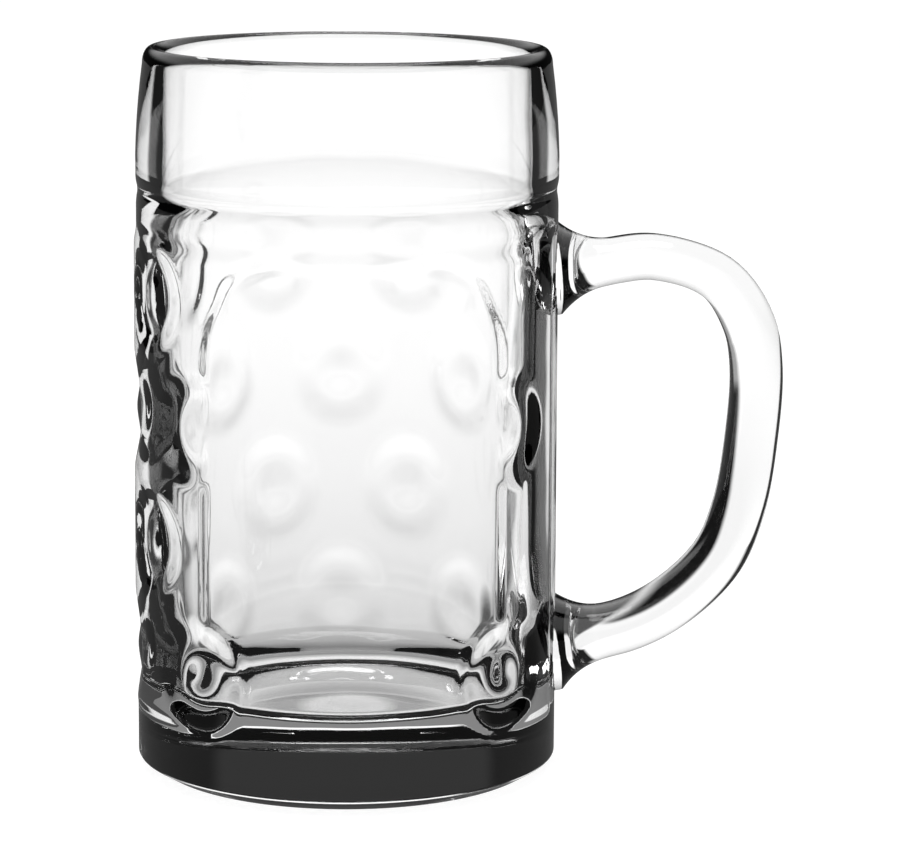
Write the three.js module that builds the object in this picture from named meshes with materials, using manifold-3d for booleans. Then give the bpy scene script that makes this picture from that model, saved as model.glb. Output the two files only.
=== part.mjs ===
import * as THREE from 'three';
import { mergeVertices } from 'three/addons/utils/BufferGeometryUtils.js';
import Module from 'manifold-3d';

// Half-litre beer mug of clear pressed glass: a thick round cup with rows of dished eyes, and a D-handle
// fused to its wall. Millimetres, +Z up. The origin is on the cup's axis at its underside, the handle
// points along +X and the smooth front panel faces -Y. Angles run from the front towards the handle.

// Cup, outside: the wall tapers a little to the shoulder, and the neck is drawn in at its lip
const mugHeight = 155;
const footRadius = 45.2;
const footEdgeRadius = 3.2;
const wallTaper = 0.35;
const shoulderHeight = 123;
const notchDepth = 0.6;
const notchHeight = 4.4;
const neckFlare = 0.15;
const lipTaper = 1.65;
const lipRise = 3.4;

// Cup, inside: the floor runs up to the wall in a wide, low corner
const neckWall = 5.6;
const ledgeTop = 125.5;
const ledgeDrop = 5;
const shoulderWall = 6.55;
const footWall = 7.7;
const floorHeight = 16;
const floorCornerWidth = 18.5;
const floorCornerRise = 4.8;

// Pressed eyes: each is a dished ring round a low dome, sunk in a wall that stands a little proud
const eyesAround = 8;
const eyeRows = 4;
const eyeRadius = 13.2;
const eyeDishRadius = 6.6;
const eyeDishDepth = 1.3;
const eyeDomeDepth = 0.55;
const proudRise = 0.5;

// The eyes fill the wall between the foot band and the plain band under the notch
const patternBottom = 13;
const patternTop = 117.5;

// Smooth areas of the wall that the eyes leave free
const panelWidth = 65;
const panelTop = 112.5;
const panelCornerRadius = 20;
const panelSlope = 2.2;
const handleLandWidth = 27;
const handleClearWidth = 44;
const landSlope = 4;

// Handle
const upperJointHeight = 108;
const lowerJointHeight = 26;
const handleReach = 93.8;
const handleDepth = 15;
const upperArmThickness = 9.8;
const gripThickness = 11.2;
const thinUntilShare = 0.2;
const fullFromShare = 0.35;
const flareHeight = 5.4;
const flareDepth = 3.6;
const flareLength = 13;
const flarePower = 2.5;
const sectionPower = 2.5;
const rootDepth = 2.5;
const seamGap = 0.3;

// Facets
const cupSegments = 100;
const patternRings = 32;
const roundSteps = 3;
const floorCornerSteps = 6;
const lipSteps = 6;
const handleSides = 20;
const handleSteps = 48;
const endSpacingShare = 0.6;
const weldDistance = 1e-4;

// Radii that follow from the sizes above
const shoulderRadius = footRadius - wallTaper;
const neckRadius = shoulderRadius + neckFlare;
const lipRadius = neckRadius - lipTaper;
const neckBoreRadius = neckRadius - neckWall;
const boreTopRadius = shoulderRadius - shoulderWall;
const boreBottomRadius = footRadius - footWall;

const frontAngle = 0;
const handleAngle = Math.PI / 2;
const eyePitch = (2 * Math.PI) / eyesAround;

// Eases from 0 to 1 with level ends
function ease(share) {
  const t = THREE.MathUtils.clamp(share, 0, 1);
  return t * t * (3 - 2 * t);
}

// Radius of the smooth wall, which tapers from the foot band to the shoulder
function wallRadius(height) {
  const share = (height - patternBottom) / (shoulderHeight - patternBottom);
  return THREE.MathUtils.lerp(footRadius, shoulderRadius, THREE.MathUtils.clamp(share, 0, 1));
}

// Signed length along the wall from one angle to another, the short way round
function lengthAcross(angle, from, radius) {
  const turn = THREE.MathUtils.euclideanModulo(angle - from + Math.PI, 2 * Math.PI) - Math.PI;
  return turn * radius;
}

function rowHeight(row) {
  const first = patternBottom + eyeRadius;
  const last = patternTop - eyeRadius;
  return eyeRows > 1 ? THREE.MathUtils.lerp(first, last, row / (eyeRows - 1)) : (first + last) / 2;
}

// Every second row is turned by half a pitch, and the top row is one of these
function rowTurn(row) {
  return (eyeRows - row) % 2 === 1 ? eyePitch / 2 : 0;
}

// Depth of an eye under the proud wall, at a distance from the eye's middle
function eyeDepth(distance) {
  if (distance < eyeDishRadius) {
    return THREE.MathUtils.lerp(eyeDomeDepth, eyeDishDepth, ease(distance / eyeDishRadius));
  }
  return eyeDishDepth * (1 - ease((distance - eyeDishRadius) / (eyeRadius - eyeDishRadius)));
}

// Length along the wall from the handle's middle
function fromHandle(angle, radius) {
  return Math.abs(lengthAcross(angle, handleAngle, radius));
}

// Height of the proud wall and its eyes over the smooth wall. No eye has its middle in the
// clear width at the handle
function eyeField(angle, height, radius) {
  let level = proudRise;
  for (let row = 0; row < eyeRows; row += 1) {
    const turn = rowTurn(row);
    const nearest = turn + Math.round((angle - turn) / eyePitch) * eyePitch;
    if (fromHandle(nearest, radius) > handleClearWidth / 2) {
      const across = lengthAcross(angle, nearest, radius);
      level -= eyeDepth(Math.hypot(across, height - rowHeight(row)));
    }
  }
  return level;
}

// How far a point lies outside the front panel: a field with round upper corners,
// which two eyes of the bottom row bite into
function panelDistance(across, height, radius) {
  const corner = panelCornerRadius;
  const outX = Math.max(Math.abs(across) - panelWidth / 2 + corner, 0);
  const outZ = Math.max(height - panelTop + corner, 0);
  const field = Math.hypot(outX, outZ) - corner;
  const biteAcross = Math.abs(across) - eyePitch * radius;
  const bite = eyeRadius - Math.hypot(biteAcross, height - rowHeight(0));
  return Math.max(field, bite);
}

// Share of the smooth wall at a point: 1 on a smooth area, 0 among the eyes
function landShare(angle, height, radius) {
  const panel = panelDistance(lengthAcross(angle, frontAngle, radius), height, radius);
  const strip = fromHandle(angle, radius) - handleLandWidth / 2;
  const bands = Math.min(patternTop - height, height - patternBottom);
  return 1 - ease(Math.min(panel / panelSlope, strip / landSlope, bands / landSlope));
}

function patternRelief(angle, height) {
  const radius = wallRadius(height);
  return eyeField(angle, height, radius) * (1 - landShare(angle, height, radius));
}

// Points of a quarter or half round between two angles, about a centre
function roundPoints(centreX, centreY, radiusX, radiusY, from, to, steps) {
  const points = [];
  for (let step = 0; step <= steps; step += 1) {
    const angle = THREE.MathUtils.lerp(from, to, step / steps);
    const x = centreX + radiusX * Math.cos(angle);
    points.push(new THREE.Vector2(x, centreY + radiusY * Math.sin(angle)));
  }
  return points;
}

// Profile of the cup's outside, from the middle of the underside to the start of the lip
function outerProfile() {
  const points = [new THREE.Vector2(0, 0)];
  const edge = footEdgeRadius;
  points.push(...roundPoints(footRadius - edge, edge, edge, edge, -Math.PI / 2, 0, roundSteps));
  for (let ring = 0; ring <= patternRings; ring += 1) {
    const height = THREE.MathUtils.lerp(patternBottom, patternTop, ring / patternRings);
    points.push(new THREE.Vector2(wallRadius(height), height));
  }
  points.push(new THREE.Vector2(shoulderRadius, shoulderHeight));
  const notchRadius = neckRadius - notchDepth;
  points.push(new THREE.Vector2(notchRadius, shoulderHeight + notchHeight / 2));
  const neckBottom = shoulderHeight + notchHeight;
  const neckTop = mugHeight - lipRise;
  for (let step = 0; step < roundSteps; step += 1) {
    const share = step / roundSteps;
    const radius = neckRadius - (neckRadius - lipRadius) * share * share;
    points.push(new THREE.Vector2(radius, THREE.MathUtils.lerp(neckBottom, neckTop, share)));
  }
  return points;
}

// Profile of the rounded lip and of the inside, down to the middle of the floor
function innerProfile() {
  const lipMiddle = (lipRadius + neckBoreRadius) / 2;
  const lipHalf = (lipRadius - neckBoreRadius) / 2;
  const points = roundPoints(lipMiddle, mugHeight - lipRise, lipHalf, lipRise, 0, Math.PI, lipSteps);
  for (let step = 0; step <= roundSteps; step += 1) {
    const share = step / roundSteps;
    const radius = THREE.MathUtils.lerp(neckBoreRadius, boreTopRadius, ease(share));
    points.push(new THREE.Vector2(radius, ledgeTop - ledgeDrop * share));
  }
  const cornerX = boreBottomRadius - floorCornerWidth;
  const cornerY = floorHeight + floorCornerRise;
  const steps = floorCornerSteps;
  points.push(...roundPoints(cornerX, cornerY, floorCornerWidth, floorCornerRise, 0, -Math.PI / 2, steps));
  points.push(new THREE.Vector2(0, floorHeight));
  return points;
}

// The cup is one revolved wall, whose outside is then pressed in by the pattern
function cupGeometry() {
  const outer = outerProfile();
  const profile = [...outer, ...innerProfile()];
  const geometry = new THREE.LatheGeometry(profile, cupSegments);
  geometry.rotateX(Math.PI / 2);
  const position = geometry.getAttribute('position');
  for (let index = 0; index < position.count; index += 1) {
    const height = position.getZ(index);
    const onPattern = height >= patternBottom && height <= patternTop;
    if (index % profile.length < outer.length && onPattern) {
      const x = position.getX(index);
      const y = position.getY(index);
      const radius = Math.hypot(x, y);
      const grown = (radius + patternRelief(Math.atan2(x, -y), height)) / radius;
      position.setXY(index, x * grown, y * grown);
    }
  }
  geometry.computeVertexNormals();
  return geometry;
}

// Centre line of the handle, in its plane: shares of the reach from the wall,
// and of the rise between the joints
const handleShape = [
  [0.21, 1.012],
  [0.48, 1.026],
  [0.8, 0.97],
  [0.955, 0.855],
  [1, 0.735],
  [0.98, 0.53],
  [0.925, 0.355],
  [0.825, 0.225],
  [0.61, 0.11],
  [0.36, 0.04],
];

function handleCurve() {
  const reach = handleReach - gripThickness / 2;
  const rise = upperJointHeight - lowerJointHeight;
  const upperWall = wallRadius(upperJointHeight);
  const lowerWall = wallRadius(lowerJointHeight);
  const points = [new THREE.Vector3(upperWall - rootDepth, 0, upperJointHeight)];
  for (const [out, up] of handleShape) {
    const wall = THREE.MathUtils.lerp(lowerWall, upperWall, up);
    points.push(new THREE.Vector3(wall + (reach - wall) * out, 0, lowerJointHeight + rise * up));
  }
  points.push(new THREE.Vector3(lowerWall - rootDepth, 0, lowerJointHeight));
  return new THREE.CatmullRomCurve3(points, false, 'centripetal');
}

// One ring of the handle: an oval section square to the centre line, widened towards the wall
function handleRing(curve, share) {
  const middle = curve.getPointAt(share);
  const along = curve.getTangentAt(share);
  const outwards = new THREE.Vector3(-along.z, 0, along.x);
  const fromWall = Math.max(middle.x - wallRadius(middle.z), 0);
  const flare = Math.max(1 - fromWall / flareLength, 0) ** flarePower;
  const gripShare = ease((share - thinUntilShare) / (fullFromShare - thinUntilShare));
  const thickness = THREE.MathUtils.lerp(upperArmThickness, gripThickness, gripShare);
  const halfThick = thickness / 2 + flareHeight * flare;
  const halfDeep = handleDepth / 2 + flareDepth * flare;
  const ring = [];
  for (let side = 0; side < handleSides; side += 1) {
    const angle = (2 * Math.PI * side) / handleSides;
    const bulge = (value) => Math.sign(value) * Math.abs(value) ** (2 / sectionPower);
    const point = middle.clone().addScaledVector(outwards, halfThick * bulge(Math.cos(angle)));
    point.y += halfDeep * bulge(Math.sin(angle));
    ring.push(point);
  }
  return ring;
}

// Closed skin through rings of equal length, with a flat cap at both ends
function loftGeometry(rings) {
  const sides = rings[0].length;
  const last = (rings.length - 1) * sides;
  const faces = [];
  for (let side = 1; side < sides - 1; side += 1) {
    faces.push(0, side, side + 1, last, last + side + 1, last + side);
  }
  for (let ring = 0; ring < rings.length - 1; ring += 1) {
    for (let side = 0; side < sides; side += 1) {
      const a = ring * sides + side;
      const b = ring * sides + ((side + 1) % sides);
      faces.push(a, a + sides, b, b, a + sides, b + sides);
    }
  }
  const geometry = new THREE.BufferGeometry().setFromPoints(rings.flat());
  geometry.setIndex(faces);
  return geometry;
}

const solids = await Module();
solids.setup();

function toSolid(geometry) {
  const bare = geometry.clone();
  bare.deleteAttribute('normal');
  bare.deleteAttribute('uv');
  const merged = mergeVertices(bare, weldDistance);
  const vertProperties = new Float32Array(merged.getAttribute('position').array);
  const triVerts = new Uint32Array(merged.index.array);
  return new solids.Manifold(new solids.Mesh({ numProp: 3, vertProperties, triVerts }));
}

function toGeometry(solid) {
  const mesh = solid.getMesh();
  const geometry = new THREE.BufferGeometry();
  geometry.setAttribute('position', new THREE.BufferAttribute(mesh.vertProperties, 3));
  geometry.setIndex(new THREE.BufferAttribute(mesh.triVerts, 1));
  geometry.computeVertexNormals();
  return geometry;
}

// The smooth wall that the handle is cut to, wider than the cup by the seam
function seatGeometry() {
  const profile = [new THREE.Vector2(0, 0)];
  for (const height of [0, patternBottom, shoulderHeight, mugHeight]) {
    profile.push(new THREE.Vector2(wallRadius(height) + seamGap, height));
  }
  profile.push(new THREE.Vector2(0, mugHeight));
  const geometry = new THREE.LatheGeometry(profile, cupSegments);
  geometry.rotateX(Math.PI / 2);
  return geometry;
}

function handleGeometry() {
  const curve = handleCurve();
  const rings = [];
  for (let step = 0; step <= handleSteps; step += 1) {
    const share = step / handleSteps;
    const spread = (endSpacingShare * Math.sin(2 * Math.PI * share)) / (2 * Math.PI);
    rings.push(handleRing(curve, share - spread));
  }
  return toGeometry(toSolid(loftGeometry(rings)).subtract(toSolid(seatGeometry())));
}

function clearGlass() {
  return new THREE.MeshStandardMaterial({
    color: 0xf1f4f3,
    roughness: 0.04,
    metalness: 0,
    transparent: true,
    opacity: 0.35,
  });
}

const mugBody = new THREE.Mesh(cupGeometry(), clearGlass());
mugBody.name = 'mug_body';

const handle = new THREE.Mesh(handleGeometry(), clearGlass());
handle.name = 'handle';

const beerMug = new THREE.Group();
beerMug.add(mugBody, handle);

export default beerMug;
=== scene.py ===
import math

import bmesh
import bpy
from mathutils import Matrix, Vector


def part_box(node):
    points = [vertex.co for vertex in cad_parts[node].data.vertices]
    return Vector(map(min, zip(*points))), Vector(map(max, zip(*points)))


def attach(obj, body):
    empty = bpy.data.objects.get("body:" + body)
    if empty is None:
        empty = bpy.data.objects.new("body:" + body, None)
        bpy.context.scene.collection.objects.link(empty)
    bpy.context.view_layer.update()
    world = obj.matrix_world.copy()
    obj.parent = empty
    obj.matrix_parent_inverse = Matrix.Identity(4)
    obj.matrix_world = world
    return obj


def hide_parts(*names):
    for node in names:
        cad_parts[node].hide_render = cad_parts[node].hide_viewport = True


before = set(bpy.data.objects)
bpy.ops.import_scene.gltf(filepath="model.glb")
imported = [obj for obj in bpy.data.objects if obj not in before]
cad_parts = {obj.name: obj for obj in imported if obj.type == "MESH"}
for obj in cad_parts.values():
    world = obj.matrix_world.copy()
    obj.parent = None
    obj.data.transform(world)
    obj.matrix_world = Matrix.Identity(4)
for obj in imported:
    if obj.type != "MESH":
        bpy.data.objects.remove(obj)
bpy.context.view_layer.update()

mm = 0.001
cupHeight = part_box("mug_body")[1].z
weldDistance = 0.001 * mm
print("frame loaded:", sorted(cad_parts))


# Colours are written as sRGB hex and used as linear values
def linear(hexColour):
    channels = [int(hexColour[place:place + 2], 16) / 255 for place in (0, 2, 4)]
    return [c / 12.92 if c <= 0.04045 else ((c + 0.055) / 1.055) ** 2.4 for c in channels] + [1]


# One node. An input is a value or another node's output, and stops are a ramp's places and levels
def addNode(tree, kind, inputs=None, stops=(), **settings):
    node = tree.nodes.new(kind)
    for name, value in settings.items():
        setattr(node, name, value)
    for stop in stops[2:]:
        node.color_ramp.elements.new(stop[0])
    for element, (place, level) in zip(node.color_ramp.elements if stops else (), stops):
        element.position = place
        element.color = (level, level, level, 1)
    for socket, value in (inputs or {}).items():
        if isinstance(value, bpy.types.NodeSocket):
            tree.links.new(value, node.inputs[socket])
        else:
            node.inputs[socket].default_value = value
    return node


def newMaterial(name):
    material = bpy.data.materials.new(name)
    material.use_nodes = True
    material.node_tree.nodes.clear()
    return material


# Welds a bmesh and turns it into a smooth mesh object at the origin
def finishPiece(bm, name, materials):
    bmesh.ops.remove_doubles(bm, verts=bm.verts, dist=weldDistance)
    bmesh.ops.recalc_face_normals(bm, faces=bm.faces)
    for face in bm.faces:
        face.smooth = True
    mesh = bpy.data.meshes.new(name)
    bm.to_mesh(mesh)
    bm.free()
    for material in materials:
        mesh.materials.append(material)
    piece = bpy.data.objects.new(name, mesh)
    bpy.context.scene.collection.objects.link(piece)
    print(name, "has", sum(len(p.vertices) - 2 for p in mesh.polygons), "triangles")
    return piece


def ease(share):
    t = min(max(share, 0), 1)
    return t * t * (3 - 2 * t)


def mix(a, b, share):
    return a + (b - a) * share


# Glass

glass = {
    "tint": "fefefe",          # colourless
    "ior": 1.51,
    "waveSize": 16 * mm,       # slow waves that a plunger leaves in pressed glass
    "waveHeight": 0.10 * mm,
    "waveDetail": 1,
    "waveFade": 0.4,           # of the finer waves
    "hazeSize": 5 * mm,        # patches that the fire polish left a little duller
    "hazeDetail": 3,
    "hazeFrom": 0.45,          # levels of the noise between which the haze sets in
    "hazeTo": 0.75,
    "hazeRoughness": 0.012,
}


# Soda-lime glass, pressed in a mould and fire polished: clear and glossy, with soft waves in what it shows
def pressedSodaLimeGlass():
    material = newMaterial("pressedSodaLimeGlass")
    tree = material.node_tree
    place = addNode(tree, "ShaderNodeTexCoord").outputs["Object"]
    waves = addNode(tree, "ShaderNodeTexNoise",
                    {"Vector": place, "Scale": 1 / glass["waveSize"], "Detail": glass["waveDetail"],
                     "Roughness": glass["waveFade"]})
    wavy = addNode(tree, "ShaderNodeBump",
                   {"Height": waves.outputs["Fac"], "Strength": 1, "Distance": glass["waveHeight"]})
    haze = addNode(tree, "ShaderNodeTexNoise",
                   {"Vector": place, "Scale": 1 / glass["hazeSize"], "Detail": glass["hazeDetail"]})
    dull = addNode(tree, "ShaderNodeMapRange",
                   {"Value": haze.outputs["Fac"], "From Min": glass["hazeFrom"],
                    "From Max": glass["hazeTo"], "To Min": 0, "To Max": glass["hazeRoughness"]})
    surface = addNode(tree, "ShaderNodeBsdfPrincipled",
                      {"Base Color": linear(glass["tint"]), "IOR": glass["ior"], "Transmission Weight": 1,
                       "Roughness": dull.outputs["Result"], "Normal": wavy.outputs["Normal"]})
    addNode(tree, "ShaderNodeOutputMaterial", {"Surface": surface.outputs["BSDF"]})
    return material


# Joint of the handle, where the hot glass ran together: one glass goes on through it, with no edge
def fusedGlassSeam():
    material = newMaterial("fusedGlassSeam")
    clear = addNode(material.node_tree, "ShaderNodeBsdfTransparent")
    addNode(material.node_tree, "ShaderNodeOutputMaterial", {"Surface": clear.outputs["BSDF"]})
    return material


# Cup

cup = {
    "height": cupHeight,
    "footRadius": 45.2 * mm,
    "footBevelWidth": 4.4 * mm,
    "footBevelHeight": 2.6 * mm,
    "footEdge": 0.5 * mm,
    "wallTaper": 0.35 * mm,
    "shoulderHeight": 123 * mm,
    "shoulderEdge": 1.2 * mm,
    "notchDepth": 0.6 * mm,     # groove between shoulder and neck
    "notchHeight": 4.4 * mm,
    "notchRound": 1.1 * mm,
    "neckFlare": 0.15 * mm,
    "lipTaper": 1.65 * mm,      # how far the neck draws in up to the lip
    "lipRise": 3.4 * mm,
    "neckWall": 5.6 * mm,
    "ledgeTop": 125.5 * mm,     # step inside, where the bore widens to the neck
    "ledgeDrop": 5 * mm,
    "ledgeRound": 2.2 * mm,
    "shoulderWall": 6.55 * mm,
    "footWall": 7.7 * mm,
    "floorHeight": 16 * mm,
    "floorCornerWidth": 18.5 * mm,
    "floorCornerRise": 4.8 * mm,
    "segments": 320,
    "patternSpacing": 0.9 * mm,
    "plainSpacing": 4 * mm,
    "roundProfile": 0.5,        # a circle's arc
    "roundSegments": 8,
    "floorSegments": 28,
    "tolerance": 0.01 * mm,
}

# Pressed pattern: rows of round eyes, each a dished ring round a low dome, on a slightly raised wall.
# The eyes leave a smooth panel at the front and a smooth strip at the handle
eyes = {
    "around": 8,
    "rows": 4,
    "radius": 13.2 * mm,
    "dishRadius": 6.6 * mm,
    "landRise": 0.5 * mm,
    "dishDepth": 1.3 * mm,      # under the land
    "domeDepth": 0.55 * mm,     # under the land
    "bottom": 13 * mm,
    "top": 117.5 * mm,
    "panelWidth": 65 * mm,
    "panelTop": 112.5 * mm,
    "panelCorner": 20 * mm,
    "handleStrip": 27 * mm,
    "handleClear": 44 * mm,     # width at the handle that no eye has its middle in
    "panelSlope": 2.2 * mm,
    "slope": 4 * mm,
    "skin": 1 * mm,             # depth of the wall that takes the pattern
}
eyePitch = 2 * math.pi / eyes["around"]


# Radius of the smooth wall at a height
def wallRadius(height):
    share = (height - eyes["bottom"]) / (cup["shoulderHeight"] - eyes["bottom"])
    return cup["footRadius"] - cup["wallTaper"] * min(max(share, 0), 1)


def rowHeight(row):
    first = eyes["bottom"] + eyes["radius"]
    last = eyes["top"] - eyes["radius"]
    return mix(first, last, row / (eyes["rows"] - 1))


# Every second row is turned by half a pitch, the top row among them
def rowTurn(row):
    return eyePitch / 2 if (eyes["rows"] - row) % 2 else 0


# Depth of an eye under the land, by the distance from its middle
def eyeDepth(distance):
    if distance < eyes["dishRadius"]:
        return mix(eyes["domeDepth"], eyes["dishDepth"], ease(distance / eyes["dishRadius"]))
    rise = (distance - eyes["dishRadius"]) / (eyes["radius"] - eyes["dishRadius"])
    return eyes["dishDepth"] * (1 - ease(rise))


# How far a point of the wall lies outside the front panel, which two eyes of the bottom row bite into
def panelDistance(across, height):
    corner = eyes["panelCorner"]
    outX = max(abs(across) - eyes["panelWidth"] / 2 + corner, 0)
    outZ = max(height - eyes["panelTop"] + corner, 0)
    field = math.hypot(outX, outZ) - corner
    biteAcross = abs(across) - eyePitch * wallRadius(height)
    bite = eyes["radius"] - math.hypot(biteAcross, height - rowHeight(0))
    return max(field, bite)


# Length along the wall from the handle's middle
def fromHandle(angle, radius):
    return abs(math.remainder(angle - math.pi / 2, 2 * math.pi)) * radius


# Height of the pattern over the smooth wall; the angle runs from the front towards the handle
def reliefAt(angle, height):
    radius = wallRadius(height)
    level = eyes["landRise"]
    for row in range(eyes["rows"]):
        middle = rowTurn(row) + round((angle - rowTurn(row)) / eyePitch) * eyePitch
        if fromHandle(middle, radius) > eyes["handleClear"] / 2:
            level -= eyeDepth(math.hypot((angle - middle) * radius, height - rowHeight(row)))
    fromBands = min(eyes["top"] - height, height - eyes["bottom"])
    fromLand = min(fromHandle(angle, radius) - eyes["handleStrip"] / 2, fromBands)
    share = min(panelDistance(angle * radius, height) / eyes["panelSlope"], fromLand / eyes["slope"])
    return level * ease(share)


# Half of the cup's section as a wire, rounded at its corners, and the sizes that makeCup bends it by
def cupSection(bm):
    shoulder = cup["footRadius"] - cup["wallTaper"]
    neck = shoulder + cup["neckFlare"]
    lip = neck - cup["lipTaper"]
    bore = neck - cup["neckWall"]
    boreTop = shoulder - cup["shoulderWall"]
    boreBottom = cup["footRadius"] - cup["footWall"]
    notchMiddle = cup["shoulderHeight"] + cup["notchHeight"] / 2
    neckBottom = cup["shoulderHeight"] + cup["notchHeight"]
    neckTop = cup["height"] - cup["lipRise"]
    lipHalf = (lip - bore) / 2
    steps = cup["roundSegments"]
    corners = [                 # radius, height, round, steps of the round
        (0, 0, 0, 0),
        (cup["footRadius"] - cup["footBevelWidth"], 0, cup["footEdge"], steps),
        (cup["footRadius"], cup["footBevelHeight"], cup["footEdge"], steps),
        (cup["footRadius"], eyes["bottom"], 0, 0),
        (wallRadius(eyes["top"]), eyes["top"], 0, 0),
        (shoulder, cup["shoulderHeight"], cup["shoulderEdge"], steps),
        (neck - cup["notchDepth"], notchMiddle, cup["notchRound"], steps),
        (neck, neckBottom, cup["shoulderEdge"], steps),
        (lip, neckTop, 0, 0),
        (lip, neckTop + lipHalf, lipHalf, steps),
        (bore, neckTop + lipHalf, lipHalf, steps),
        (bore, neckTop, 0, 0),
        (bore, cup["ledgeTop"], cup["ledgeRound"], steps),
        (boreTop, cup["ledgeTop"] - cup["ledgeDrop"], cup["ledgeRound"], steps),
        (boreBottom, cup["floorHeight"] + cup["floorCornerWidth"], 0, 0),
        (boreBottom, cup["floorHeight"], cup["floorCornerWidth"], cup["floorSegments"]),
        (0, cup["floorHeight"], 0, 0),
    ]
    points = [bm.verts.new((radius, 0, height)) for radius, height, edge, segments in corners]
    for a, b in zip(points, points[1:]):
        bm.edges.new((a, b))
    for point, (radius, height, edge, segments) in zip(points, corners):
        if edge:
            bmesh.ops.bevel(bm, geom=[point], offset=edge, offset_type="OFFSET", affect="VERTICES",
                            segments=segments, profile=cup["roundProfile"], material=-1,
                            clamp_overlap=False)
    return neck, lip, neckBottom, neckTop, lipHalf, boreBottom


# Whether a point lies on the outer wall between the pattern's ends
def onPattern(radius, height):
    return radius > wallRadius(height) - eyes["skin"] and eyes["bottom"] < height < eyes["top"]


def makeCup(materials):
    bm = bmesh.new()
    neck, lip, neckBottom, neckTop, lipHalf, boreBottom = cupSection(bm)
    for edge in bm.edges[:]:
        middle = (edge.verts[0].co + edge.verts[1].co) / 2
        spacing = cup["patternSpacing"] if onPattern(middle.x, middle.z) else cup["plainSpacing"]
        cuts = math.ceil(edge.calc_length() / spacing) - 1
        if cuts > 0:
            bmesh.ops.subdivide_edges(bm, edges=[edge], cuts=cuts)
    for vert in bm.verts:
        fromFloor = vert.co.z - cup["floorHeight"]     # the round by the floor is flattened into an oval
        inCorner = vert.co.x < boreBottom + cup["tolerance"] and -cup["tolerance"] < fromFloor
        if inCorner and fromFloor < cup["floorCornerWidth"] + cup["tolerance"]:
            squeeze = cup["floorCornerRise"] / cup["floorCornerWidth"]
            vert.co.z = cup["floorHeight"] + fromFloor * squeeze
        if vert.co.z > neckTop:     # the lip is a tall half oval
            vert.co.z = mix(neckTop, cup["height"], (vert.co.z - neckTop) / lipHalf)
        elif vert.co.z > neckBottom + cup["shoulderEdge"] and vert.co.x > lip - cup["tolerance"]:
            share = (vert.co.z - neckBottom) / (neckTop - neckBottom)
            vert.co.x = neck - cup["lipTaper"] * share**2     # the neck draws in along a curve
    bmesh.ops.spin(bm, geom=bm.verts[:] + bm.edges[:], cent=(0, 0, 0), axis=(0, 0, 1), angle=2 * math.pi,
                   steps=cup["segments"], use_merge=True)
    for vert in bm.verts:
        radius = vert.co.xy.length
        if onPattern(radius, vert.co.z):
            grown = 1 + reliefAt(math.atan2(vert.co.x, -vert.co.y), vert.co.z) / radius
            vert.co.xy = vert.co.xy * grown
    for face in bm.faces:
        if all(underFoot(vert.co) for vert in face.verts):
            face.material_index = 1
    return finishPiece(bm, "mug_glass", materials)


# Handle

grip = {
    "upperJoint": 108 * mm,
    "lowerJoint": 26 * mm,
    "reach": 93.8 * mm,
    "depth": 15 * mm,
    "upperThickness": 9.8 * mm,
    "thickness": 11.2 * mm,
    "thinUntil": 0.2,          # shares of the line between which the handle thickens
    "fullFrom": 0.35,
    "flareHeight": 5.4 * mm,
    "flareDepth": 3.6 * mm,
    "flareLength": 13 * mm,
    "flarePower": 2.5,
    "sectionPower": 2.5,       # 2 is an ellipse, and more is squarer
    "rootDepth": 2.5 * mm,
    "standOff": 0.02 * mm,     # of the foot's face from the wall
    "seamEdge": 0.4 * mm,      # rim of the foot that shows as a thin line
    "sides": 64,
    "rings": 110,
    "footRings": 6,
    "rootCrowding": 0.6,       # how much closer the rings stand at the ends
    "splineSteps": 40,
    "tangentStep": 0.004,
    "searchShare": 0.15,       # the skin leaves the wall within this share of the line
    "searchSteps": 24,
    "angleDigits": 4,          # decimals to which a side's angle agrees from ring to ring
    # centre line: shares of the reach from the wall, and of the rise between the joints
    "line": [(0.21, 1.012), (0.48, 1.026), (0.8, 0.97), (0.955, 0.855), (1, 0.735), (0.98, 0.53),
             (0.925, 0.355), (0.825, 0.225), (0.61, 0.11), (0.36, 0.04)],
}


# Points close together along the centre line, a centripetal spline through the shares above
def handleLine():
    upperWall = wallRadius(grip["upperJoint"])
    lowerWall = wallRadius(grip["lowerJoint"])
    reach = grip["reach"] - grip["thickness"] / 2
    knots = [Vector((upperWall - grip["rootDepth"], 0, grip["upperJoint"]))]
    for out, up in grip["line"]:
        wall = mix(lowerWall, upperWall, up)
        knots.append(Vector((mix(wall, reach, out), 0, mix(grip["lowerJoint"], grip["upperJoint"], up))))
    knots.append(Vector((lowerWall - grip["rootDepth"], 0, grip["lowerJoint"])))
    knots = [2 * knots[0] - knots[1], *knots, 2 * knots[-1] - knots[-2]]
    points = []
    for p0, p1, p2, p3 in zip(knots, knots[1:], knots[2:], knots[3:]):
        gaps = [math.sqrt((b - a).length) for a, b in ((p0, p1), (p1, p2), (p2, p3))]
        leave = ((p1 - p0) / gaps[0] - (p2 - p0) / (gaps[0] + gaps[1]) + (p2 - p1) / gaps[1]) * gaps[1]
        arrive = ((p2 - p1) / gaps[1] - (p3 - p1) / (gaps[1] + gaps[2]) + (p3 - p2) / gaps[2]) * gaps[1]
        for step in range(grip["splineSteps"]):
            t = step / grip["splineSteps"]
            points.append(p1 * (2 * t**3 - 3 * t**2 + 1) + leave * (t**3 - 2 * t**2 + t)
                          + p2 * (3 * t**2 - 2 * t**3) + arrive * (t**3 - t**2))
    points.append(knots[-2])
    return points


line = handleLine()
lineLengths = [0]
for a, b in zip(line, line[1:]):
    lineLengths.append(lineLengths[-1] + (b - a).length)


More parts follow.
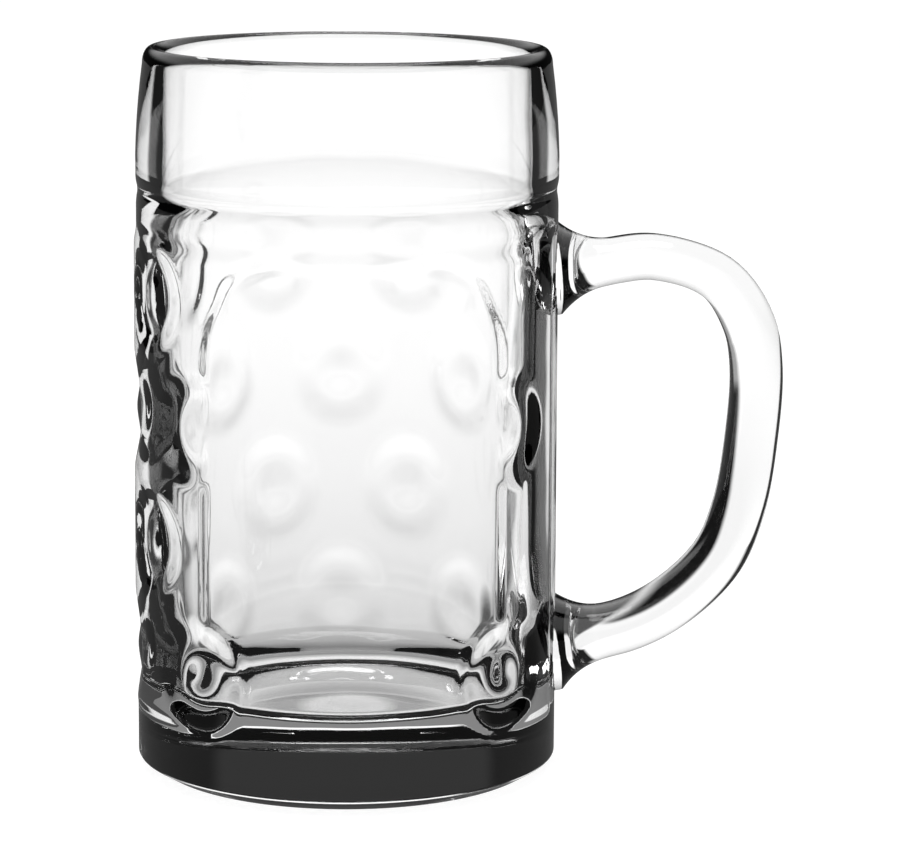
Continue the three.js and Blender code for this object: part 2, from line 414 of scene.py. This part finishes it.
# Point of the centre line at a share of its length
def linePoint(share):
    wanted = min(max(share, 0), 1) * lineLengths[-1]
    low, high = 0, len(line) - 1
    while high - low > 1:
        middle = (low + high) // 2
        if lineLengths[middle] > wanted:
            high = middle
        else:
            low = middle
    return line[low].lerp(line[high], (wanted - lineLengths[low]) / (lineLengths[high] - lineLengths[low]))


# Bends a circle's sine or cosine to the section's squarer oval
def bulge(value):
    return math.copysign(abs(value) ** (2 / grip["sectionPower"]), value)


# Point of the handle's skin: a share along the centre line, and an angle round its oval section
def skinPoint(share, angle):
    middle = linePoint(share)
    along = (linePoint(share + grip["tangentStep"]) - linePoint(share - grip["tangentStep"])).normalized()
    outwards = Vector((-along.z, 0, along.x))
    fromWall = max(middle.x - wallRadius(middle.z), 0)
    flare = max(1 - fromWall / grip["flareLength"], 0) ** grip["flarePower"]
    full = ease((share - grip["thinUntil"]) / (grip["fullFrom"] - grip["thinUntil"]))
    halfThick = mix(grip["upperThickness"], grip["thickness"], full) / 2 + grip["flareHeight"] * flare
    halfDeep = grip["depth"] / 2 + grip["flareDepth"] * flare
    sideways = Vector((0, halfDeep * bulge(math.sin(angle)), 0))
    return middle + outwards * halfThick * bulge(math.cos(angle)) + sideways


# Share where the skin comes out of the wall, searched from one end of the centre line
def wallShare(angle, end):
    inside, outside = end, abs(end - grip["searchShare"])
    for step in range(grip["searchSteps"]):
        middle = (inside + outside) / 2
        point = skinPoint(middle, angle)
        if point.xy.length < wallRadius(point.z) + grip["standOff"]:
            inside = middle
        else:
            outside = middle
    return outside


# Point of a foot's face, which lies parallel to the wall
def footPoint(rim, jointHeight, share):
    height = mix(jointHeight, rim.z, share)
    across = rim.y * share
    radius = wallRadius(height) + grip["standOff"]
    return Vector((math.sqrt(radius**2 - across**2), across, height))


# Middle, half height and half depth of each foot on the wall
def footOutlines():
    outlines = []
    for end in (0, 1):
        top, side, bottom = (skinPoint(wallShare(angle, end), angle) for angle in (0, math.pi / 2, math.pi))
        outlines.append(((top.z + bottom.z) / 2, abs(top.z - bottom.z) / 2, side.y))
    return outlines


footAreas = footOutlines()


# Whether a point of the cup lies on the wall under a foot, inside the seam's edge
def underFoot(point):
    if point.x < 0 or point.xy.length < wallRadius(point.z) - grip["seamEdge"]:
        return False
    for middle, halfHeight, halfDepth in footAreas:
        up = abs(point.z - middle) / (halfHeight - grip["seamEdge"])
        across = abs(point.y) / (halfDepth - grip["seamEdge"])
        if up ** grip["sectionPower"] + across ** grip["sectionPower"] < 1:
            return True
    return False


def makeHandle(materials):
    bm = bmesh.new()
    ring = bmesh.ops.create_circle(bm, segments=grip["sides"], radius=1)["verts"]
    edges = list({edge for vert in ring for edge in vert.link_edges})
    foot, last = grip["footRings"], grip["rings"] + 2 * grip["footRings"]
    for step in range(last):    # a plain tube with a ring for each unit of height, bent into shape below
        grown = bmesh.ops.extrude_edge_only(bm, edges=edges)["geom"]
        ring = {part for part in grown if isinstance(part, bmesh.types.BMVert)}
        edges = [part for part in grown
                 if isinstance(part, bmesh.types.BMEdge) and ring.issuperset(part.verts)]
        bmesh.ops.translate(bm, verts=list(ring), vec=(0, 0, 1))
    places = [(vert, math.atan2(vert.co.y, vert.co.x), round(vert.co.z)) for vert in bm.verts]
    roots = {}
    for vert, angle, step in places:
        key = round(angle, grip["angleDigits"])
        if key not in roots:
            roots[key] = (wallShare(angle, 0), wallShare(angle, 1))
        start, end = roots[key]
        if step < foot:
            vert.co = footPoint(skinPoint(start, angle), grip["upperJoint"], step / foot)
        elif step > last - foot:
            vert.co = footPoint(skinPoint(end, angle), grip["lowerJoint"], (last - step) / foot)
        else:
            t = (step - foot) / grip["rings"]
            t -= grip["rootCrowding"] * math.sin(2 * math.pi * t) / (2 * math.pi)
            vert.co = skinPoint(mix(start, end, t), angle)
    footVerts = {vert for vert, angle, step in places if step <= foot or step >= last - foot}
    for face in bm.faces:
        if all(vert in footVerts for vert in face.verts):
            face.material_index = 1
    rimVerts = {vert for vert, angle, step in places if step in (foot, last - foot)}
    for edge in bm.edges:
        if edge.verts[0] in rimVerts and edge.verts[1] in rimVerts:
            edge.smooth = False
    return finishPiece(bm, "handle_glass", materials)


glassAndSeam = [pressedSodaLimeGlass(), fusedGlassSeam()]
cupPiece = makeCup(glassAndSeam)
handlePiece = makeHandle(glassAndSeam)
for piece, node in ((cupPiece, "mug_body"), (handlePiece, "handle")):
    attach(piece, "root")
    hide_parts(node)
print("mug built")

# Studio

studio = {
    "floorSize": 8,
    "floorDrop": 0.3 * mm,
    "floorGlow": 0.85,          # the rest of the floor's white is lit, so that it keeps the mug's shadow
    "floorColour": 0.30,
    "dark": 0.012,
    # painted shade: dark bands in place of boards, at both sides of the white field at the back, are
    # painted into the table's and the room's glow and show only in the glass: degrees from the back to the
    # handle's side, and brightness. The first two show through one wall, such as the handle's, the last
    # through two
    "nearPaintedBands": [(-180, 1), (-40, 1), (-36, 0.008), (-22, 0.008), (-18, 1),
                   (37, 1), (42, 0.008), (70, 0.008), (76, 1), (180, 1)],
    "farPaintedBands": [(-180, 1), (-40, 1), (-36, 0.008), (-22, 0.008), (-18, 1),
                  (37, 1), (42, 0.35), (48, 0.35), (52, 0.008), (70, 0.008), (76, 1), (180, 1)],
    "twoWallPaintedBands": [(-180, 1), (-43, 1), (-38, 0.12), (-34, 0.12), (-28, 1),
                      (28, 1), (34, 0.12), (38, 0.12), (43, 1), (180, 1)],
    "oneWallStart": 180 * mm,   # distances from the mug's axis at which the painted dark bands fade in on the table
    "twoWallStart": 75 * mm,
    "handleStart": 80 * mm,
    "paintedBandFade": 30 * mm,
    "handleSide": math.radians(62),     # middle and half width of the table's sector at the handle's side
    "handleSideHalf": math.radians(48),
    "farFrom": 480 * mm,        # between these distances the near painted bands give way to the far ones
    "farTo": 640 * mm,
    "openFrom": 0.3,            # the painted dark bands end between these heights over the horizon, given as sines
    "openTo": 0.5,
    "halfCount": 0.5,           # a count of surfaces over this is one or more
    "wallSplit": 2.5,           # a ray through one wall has passed fewer surfaces than this
    "edgeSurfaces": 3,          # most that a ray mirrored at an edge has passed before the table
    "mostSurfaces": 20,         # and before the room
    # half width and soft edge of the painted white window that edges mirror, a painted reflection
    "paintedWindowHalf": math.radians(30),
    "paintedWindowSoft": math.radians(3),
    "skyFrom": 0.15,            # the room dims between these heights, to the level that follows
    "skyTo": 0.7,
    "skyShade": 0.45,
    "mirrorFrom": 0.12,         # what the glass's outside mirrors goes from dark to white between these
    "mirrorTo": 0.35,
    "mirrorTable": 0.15,        # brightness of the table in the same mirror
    "baseFrom": 0.14,           # heights and levels of the faint light in the base
    "baseTo": 0.26,
    "baseDark": 0.008,
    "baseLight": 0.03,
    "roomLight": 0.6,           # the room's light on the table
    "rampEnd": 1000 * mm,
    # painted shade: how the table looks through the glass, darker towards the mug, with a painted dark ring
    # under the base and a painted shadow at the foot: distance from the mug's axis, brightness
    "tableRamp": [(0, 1), (8 * mm, 1), (10 * mm, 0.55), (18 * mm, 0.55), (22 * mm, 0.85), (43 * mm, 0.9),
                  (45 * mm, 0.1), (48 * mm, 0.42), (60 * mm, 0.47), (110 * mm, 0.6), (160 * mm, 0.71),
                  (200 * mm, 0.76), (280 * mm, 0.82), (400 * mm, 0.88), (510 * mm, 0.92), (700 * mm, 0.96),
                  (1000 * mm, 1)],
    "glassLift": 1.19,          # makes up for what two glass walls mirror away
    "oneWallLeast": 0.84,       # through one wall the ramp is no darker than this
    "footShadow": 94 * mm,      # through one wall the table is dim up to here
    "footFade": 12 * mm,
    "footShadowLevel": 0.25,
    "handleShadowLevel": 0.06,
}


# Angle of a direction round the mug, from the back to the handle's side
def azimuthOf(tree, direction):
    parts = addNode(tree, "ShaderNodeSeparateXYZ", {0: direction})
    return addNode(tree, "ShaderNodeMath", {0: parts.outputs["X"], 1: parts.outputs["Y"]},
                   operation="ARCTAN2").outputs[0]


# 1 for what shows through one wall, and 0 through more
def throughOneWall(tree, path):
    return addNode(tree, "ShaderNodeMath", {0: path.outputs["Transmission Depth"], 1: studio["wallSplit"]},
                   operation="LESS_THAN").outputs[0]


# Brightness of the white field and of the dark bands painted beside it, a painted shade that shows in the
# glass
def paintedBandShade(tree, path, direction, far, amount):
    turn = addNode(tree, "ShaderNodeMapRange",
                   {"Value": azimuthOf(tree, direction), "From Min": -math.pi, "From Max": math.pi})
    levels = [addNode(tree, "ShaderNodeValToRGB", {0: turn.outputs["Result"]},
                      [(degrees / 360 + 0.5, level) for degrees, level in studio[paintedBands]]).outputs[0]
              for paintedBands in ("nearPaintedBands", "farPaintedBands", "twoWallPaintedBands")]
    oneWall = addNode(tree, "ShaderNodeMix", {0: far, 2: levels[0], 3: levels[1]})
    level = addNode(tree, "ShaderNodeMix",
                    {0: throughOneWall(tree, path), 2: levels[2], 3: oneWall.outputs[0]})
    return addNode(tree, "ShaderNodeMix", {0: amount, 2: 1.0, 3: level.outputs[0]}).outputs[0]


# Painted white window at the back, which edges mirror: a painted reflection, on the table and in the room
def paintedWindowShade(tree, direction):
    turned = addNode(tree, "ShaderNodeMath", {0: azimuthOf(tree, direction)}, operation="ABSOLUTE")
    half, soft = studio["paintedWindowHalf"], studio["paintedWindowSoft"]
    return addNode(tree, "ShaderNodeMapRange",
                   {"Value": turned.outputs[0], "From Min": half - soft, "From Max": half + soft,
                    "To Min": 1, "To Max": studio["dark"]},
                   interpolation_type="SMOOTHSTEP").outputs["Result"]


# Painted shade on the table as the glass shows it: its ramp, the painted dark bands, and the shadow round
# the foot
def tableShade(tree, path, place, away, ramp):
    oneWall = throughOneWall(tree, path)
    handleSide = addNode(tree, "ShaderNodeMath",
                         {0: azimuthOf(tree, place), 1: studio["handleSide"], 2: studio["handleSideHalf"]},
                         operation="COMPARE").outputs[0]
    start = addNode(tree, "ShaderNodeMix",
                    {0: handleSide, 2: studio["oneWallStart"], 3: studio["handleStart"]})
    near = addNode(tree, "ShaderNodeMix", {0: oneWall, 2: studio["twoWallStart"], 3: start.outputs[0]})
    faded = addNode(tree, "ShaderNodeMath", {0: near.outputs[0], 1: studio["paintedBandFade"]}, operation="ADD")
    amount = addNode(tree, "ShaderNodeMapRange",
                     {"Value": away, "From Min": near.outputs[0], "From Max": faded.outputs[0]},
                     interpolation_type="SMOOTHSTEP")
    far = addNode(tree, "ShaderNodeMapRange",
                  {"Value": away, "From Min": studio["farFrom"], "From Max": studio["farTo"]},
                  interpolation_type="SMOOTHSTEP")
    paintedBands = paintedBandShade(tree, path, place, far.outputs["Result"], amount.outputs["Result"])
    dim = addNode(tree, "ShaderNodeMix",
                  {0: handleSide, 2: studio["footShadowLevel"], 3: studio["handleShadowLevel"]})
    foot = addNode(tree, "ShaderNodeMapRange",
                   {"Value": away, "From Min": studio["footShadow"] - studio["footFade"],
                    "From Max": studio["footShadow"], "To Min": dim.outputs[0], "To Max": 1},
                   interpolation_type="SMOOTHSTEP")
    shadow = addNode(tree, "ShaderNodeMix", {0: oneWall, 2: 1.0, 3: foot.outputs["Result"]})
    least = addNode(tree, "ShaderNodeMath", {0: oneWall, 1: studio["oneWallLeast"]}, operation="MULTIPLY")
    level = addNode(tree, "ShaderNodeMath", {0: ramp, 1: least.outputs[0]}, operation="MAXIMUM")
    shade = addNode(tree, "ShaderNodeMath", {0: paintedBands, 1: shadow.outputs[0]}, operation="MULTIPLY")
    return addNode(tree, "ShaderNodeMath", {0: level.outputs[0], 1: shade.outputs[0]},
                   operation="MULTIPLY").outputs[0]


# 1 for a ray that was reflected, and went through a number of surfaces within these limits
def edgeRay(tree, path, fewest, most):
    reflected = addNode(tree, "ShaderNodeMath", {0: path.outputs["Glossy Depth"], 1: studio["halfCount"]},
                        operation="GREATER_THAN")
    within = addNode(tree, "ShaderNodeMath",
                     {0: path.outputs["Transmission Depth"], 1: (fewest + most) / 2,
                      2: (most - fewest) / 2 + studio["halfCount"]}, operation="COMPARE")
    return addNode(tree, "ShaderNodeMath", {0: reflected.outputs[0], 1: within.outputs[0]},
                   operation="MULTIPLY").outputs[0]


# Room: white for the eye, plain light on the table, and for the glass the dark bands in place of boards and
# what edges mirror
def makeWorld():
    world = bpy.data.worlds.new("studioRoom")
    bpy.context.scene.world = world
    world.use_nodes = True
    tree = world.node_tree
    tree.nodes.clear()
    path = addNode(tree, "ShaderNodeLightPath")
    direction = addNode(tree, "ShaderNodeTexCoord").outputs["Generated"]
    parts = addNode(tree, "ShaderNodeSeparateXYZ", {0: direction})
    sky = addNode(tree, "ShaderNodeMapRange",
                  {"Value": parts.outputs["Z"], "From Min": studio["skyFrom"], "From Max": studio["skyTo"],
                   "To Min": 1, "To Max": studio["skyShade"]}, interpolation_type="SMOOTHSTEP")
    height = addNode(tree, "ShaderNodeMapRange",
                     {"Value": parts.outputs["Z"], "From Min": studio["openFrom"],
                      "From Max": studio["openTo"], "To Min": 1, "To Max": 0},
                     interpolation_type="SMOOTHSTEP")
    field = paintedBandShade(tree, path, direction, 1.0, height.outputs["Result"])
    light = addNode(tree, "ShaderNodeMath", {0: sky.outputs["Result"], 1: field}, operation="MULTIPLY")
    light = addNode(tree, "ShaderNodeMath", {0: light.outputs[0], 1: studio["glassLift"]},
                    operation="MULTIPLY")
    seen = addNode(tree, "ShaderNodeMix", {0: path.outputs["Is Camera Ray"], 2: light.outputs[0], 3: 1.0})
    mirrored = addNode(tree, "ShaderNodeMapRange",
                       {"Value": parts.outputs["Z"], "From Min": studio["mirrorFrom"],
                        "From Max": studio["mirrorTo"], "To Min": studio["dark"], "To Max": 1},
                       interpolation_type="SMOOTHSTEP")
    base = addNode(tree, "ShaderNodeMapRange",
                   {"Value": parts.outputs["Z"], "From Min": studio["baseFrom"],
                    "From Max": studio["baseTo"], "To Min": studio["baseDark"],
                    "To Max": studio["baseLight"]})
    outside = addNode(tree, "ShaderNodeMix",
                      {0: edgeRay(tree, path, 0, 0), 2: seen.outputs[0], 3: mirrored.outputs["Result"]})
    baseField = addNode(tree, "ShaderNodeMix",
                        {0: paintedWindowShade(tree, direction), 2: studio["baseDark"], 3: base.outputs["Result"]})
    edges = addNode(tree, "ShaderNodeMix",
                    {0: edgeRay(tree, path, 1, studio["mostSurfaces"]), 2: outside.outputs[0],
                     3: baseField.outputs[0]})
    diffuse = addNode(tree, "ShaderNodeMath",
                      {0: path.outputs["Diffuse Depth"], 1: studio["halfCount"]}, operation="GREATER_THAN")
    light = addNode(tree, "ShaderNodeMix",
                    {0: diffuse.outputs[0], 2: edges.outputs[0], 3: studio["roomLight"]})
    room = addNode(tree, "ShaderNodeBackground", {"Color": light.outputs[0], "Strength": 1})
    addNode(tree, "ShaderNodeOutputWorld", {"Surface": room.outputs[0]})


# White table: glows for the eye, takes the mug's shadow, and carries the painted shade above for the glass
def makeFloor():
    material = newMaterial("whiteTable")
    tree = material.node_tree
    path = addNode(tree, "ShaderNodeLightPath")
    place = addNode(tree, "ShaderNodeTexCoord").outputs["Object"]
    glow = addNode(tree, "ShaderNodeEmission", {"Strength": studio["floorGlow"]})
    lit = addNode(tree, "ShaderNodeBsdfDiffuse", {"Color": [studio["floorColour"]] * 3 + [1]})
    white = addNode(tree, "ShaderNodeAddShader", {0: glow.outputs[0], 1: lit.outputs[0]})
    flat = addNode(tree, "ShaderNodeVectorMath", {0: place, 1: (1, 1, 0)}, operation="MULTIPLY")
    away = addNode(tree, "ShaderNodeVectorMath", {0: flat.outputs[0]}, operation="LENGTH")
    share = addNode(tree, "ShaderNodeMath", {0: away.outputs["Value"], 1: studio["rampEnd"]},
                    operation="DIVIDE")
    ramp = addNode(tree, "ShaderNodeValToRGB", {0: share.outputs[0]},
                   [(distance / studio["rampEnd"], level) for distance, level in studio["tableRamp"]])
    shade = tableShade(tree, path, place, away.outputs["Value"], ramp.outputs[0])
    through = addNode(tree, "ShaderNodeMath", {0: shade, 1: studio["glassLift"]}, operation="MULTIPLY")
    edges = addNode(tree, "ShaderNodeMix",
                    {0: edgeRay(tree, path, 1, studio["edgeSurfaces"]), 2: through.outputs[0],
                     3: paintedWindowShade(tree, place)})
    mirrored = addNode(tree, "ShaderNodeMix",
                       {0: edgeRay(tree, path, 0, 0), 2: edges.outputs[0], 3: studio["mirrorTable"]})
    glassLook = addNode(tree, "ShaderNodeEmission", {"Strength": mirrored.outputs[0]})
    bounced = addNode(tree, "ShaderNodeMath",
                      {0: path.outputs["Glossy Depth"], 1: path.outputs["Transmission Depth"]},
                      operation="ADD")
    seenInGlass = addNode(tree, "ShaderNodeMath", {0: bounced.outputs[0], 1: studio["halfCount"]},
                          operation="GREATER_THAN")
    look = addNode(tree, "ShaderNodeMixShader",
                   {0: seenInGlass.outputs[0], 1: white.outputs[0], 2: glassLook.outputs[0]})
    addNode(tree, "ShaderNodeOutputMaterial", {"Surface": look.outputs[0]})
    bm = bmesh.new()
    bmesh.ops.create_grid(bm, size=studio["floorSize"] / 2)
    bmesh.ops.translate(bm, verts=bm.verts, vec=(0, 0, -studio["floorDrop"]))
    finishPiece(bm, "floor", [material])


softbox = {
    "power": 6,
    "size": (0.8, 0.8),
    "place": (0, 0.1, 1.1),
    "target": (0, 0, 0),
}


def makeLamp(name, power, size, place, target):
    lamp = bpy.data.lights.new(name, "AREA")
    lamp.shape = "RECTANGLE"
    lamp.size, lamp.size_y = size
    lamp.energy = power
    holder = bpy.data.objects.new(name, lamp)
    holder.location = place
    holder.rotation_euler = (Vector(target) - Vector(place)).to_track_quat("-Z", "Y").to_euler()
    holder.visible_camera = False
    bpy.context.scene.collection.objects.link(holder)


makeWorld()
makeFloor()
makeLamp("softboxOverhead", **softbox)
print("studio built")

# Camera at the photograph's angle

view = {
    "place": (-27.4 * mm, -785.1 * mm, 217.9 * mm),
    "heading": math.radians(3.61),
    "pitch": math.radians(10.36),
    "roll": math.radians(0.38),
    "lens": 148.6,
    "sensor": 36,
    "clipEnd": 50,
}


def makeCamera():
    camera = bpy.data.cameras.new("photoCamera")
    camera.lens = view["lens"]
    camera.sensor_width = view["sensor"]
    camera.clip_end = view["clipEnd"]
    holder = bpy.data.objects.new("photoCamera", camera)
    turn = Matrix.Rotation(-view["heading"], 4, "Z")
    tilt = Matrix.Rotation(math.pi / 2 - view["pitch"], 4, "X")
    roll = Matrix.Rotation(view["roll"], 4, "Z")
    holder.matrix_world = Matrix.Translation(view["place"]) @ turn @ tilt @ roll
    bpy.context.scene.collection.objects.link(holder)
    bpy.context.scene.camera = holder


makeCamera()
bpy.context.scene.view_settings.view_transform = "Standard"
